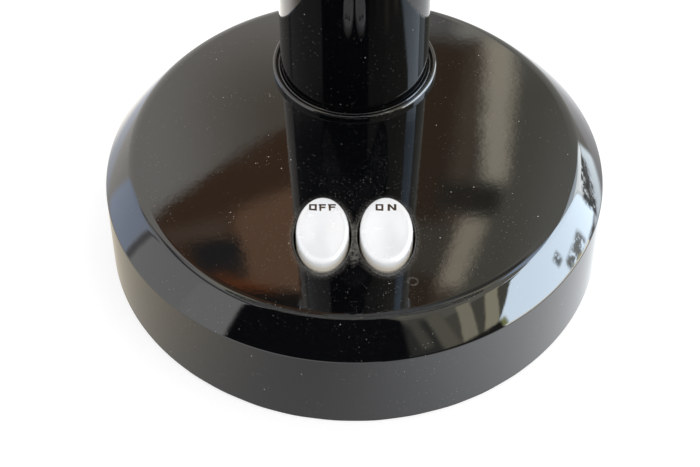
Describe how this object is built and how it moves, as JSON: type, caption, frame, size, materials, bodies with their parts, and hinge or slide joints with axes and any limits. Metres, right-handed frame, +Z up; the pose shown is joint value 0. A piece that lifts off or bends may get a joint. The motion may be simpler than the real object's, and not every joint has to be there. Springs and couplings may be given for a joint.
{
  "type": "desk lamp",
  "caption": "Gloss black desk lamp: round weighted base with OFF and ON push buttons, stout column, chromed two-link swing arm and a long tilting fluorescent hood.",
  "frame": {"origin": "middle of the flat underside of the base", "axes": "+Z up, -Y towards the user, who faces the buttons; the column stands behind the middle, at +Y"},
  "size_m": [0.4152, 0.2768, 0.433],
  "materials": {
    "black_enamel": "gloss black stove enamel",
    "white_enamel": "white enamel",
    "chrome": "polished chromium plate",
    "white_button": "gloss white moulding with a warm cast at the edges",
    "black_plastic": "black moulding",
    "fibre": "red vulcanised fibre",
    "brass": "turned brass",
    "zinc_steel": "zinc-plated steel",
    "iron": "rough casting",
    "core_steel": "stacked electrical sheet",
    "coil_wrap": "varnished cloth wrap over copper wire",
    "felt": "black felt",
    "rubber": "black rubber",
    "holder_plastic": "ivory white moulding",
    "phosphor_glass": "glass tube coated white inside",
    "aluminium": "satin"
  },
  "bodies": {
    "base": {"felt_pad": "felt", "bottom_plate": "zinc_steel", "base_shell": "black_enamel", "base_weight": "iron", "base_pillars": "zinc_steel", "base_screws": "zinc_steel", "choke_core": "core_steel", "choke_winding": "coil_wrap", "choke_strap": "zinc_steel", "choke_screws": "zinc_steel", "terminal_block": "black_plastic", "terminal_screws": "brass", "cord_grommet": "rubber", "switch_housing": "black_plastic", "switch_posts": "zinc_steel", "switch_screws": "zinc_steel", "contact_board": "fibre", "contact_leaves": "brass", "off_spring": "zinc_steel", "on_spring": "zinc_steel", "column_tube": "black_enamel", "foot_ring": "black_enamel", "column_saddle": "zinc_steel", "tie_pipe": "zinc_steel", "tie_nut": "zinc_steel", "trim_ring": "chrome", "column_cap": "black_enamel", "swivel_bush": "brass", "thrust_washer": "fibre"},
    "off_button": {"off_button": "white_button", "off_clip": "zinc_steel"},
    "on_button": {"on_button": "white_button", "on_clip": "zinc_steel"},
    "lower_arm": {"swing_tube": "chrome", "post_collar": "chrome", "collar_screw": "zinc_steel", "lower_knuckle": "chrome", "elbow_bolt": "chrome", "elbow_washer": "fibre", "elbow_top_washer": "chrome", "elbow_nut": "chrome"},
    "upper_arm": {"upper_knuckle": "chrome", "upper_tube": "chrome", "head_knuckle": "chrome"},
    "head": {"head_spindle": "zinc_steel", "head_washer": "fibre", "head_top_washer": "chrome", "head_nut": "chrome", "yoke": "chrome"},
    "tilt_knob": {"tilt_knob": "black_plastic"},
    "hood": {"hood_shell": "black_enamel", "hood_bracket": "chrome", "hood_screws": "chrome", "hood_spacers": "zinc_steel", "reflector": "white_enamel", "left_lampholder": "holder_plastic", "right_lampholder": "holder_plastic", "tube_glass": "phosphor_glass", "tube_caps": "aluminium"}
  },
  "joints": [
    {"name": "off_button_press", "type": "slide", "parent": "base", "child": "off_button", "axis": [0, 0, -1], "range_m": [0, 0.003], "stiffness_N_per_m": 700, "springref_m": -0.002, "deforming": ["off_spring"]},
    {"name": "on_button_press", "type": "slide", "parent": "base", "child": "on_button", "axis": [0, 0, -1], "range_m": [0, 0.003], "stiffness_N_per_m": 700, "springref_m": -0.002, "deforming": ["on_spring"]},
    {"name": "post_swivel", "type": "hinge", "parent": "base", "child": "lower_arm", "pos_m": [0, 0.046, 0.2545], "axis": [0, 0, 1], "range_deg": [-150, 150]},
    {"name": "elbow_swing", "type": "hinge", "parent": "lower_arm", "child": "upper_arm", "pos_m": [-0.09391, -0.0365, 0.39085], "axis": [0, 0, -1], "range_deg": [-15, 95]},
    {"name": "head_swivel", "type": "hinge", "parent": "upper_arm", "child": "head", "pos_m": [0, -0.119, 0.39085], "axis": [0, 0, 1], "range_deg": [-35, 35]},
    {"name": "hood_tilt", "type": "hinge", "parent": "head", "child": "hood", "pos_m": [0, -0.119, 0.3587], "axis": [1, 0, 0], "range_deg": [-40, 30]},
    {"name": "tilt_knob_turn", "type": "hinge", "parent": "head", "child": "tilt_knob", "pos_m": [0.015, -0.119, 0.3587], "axis": [1, 0, 0], "range_deg": [-90, 90]}
  ]
}
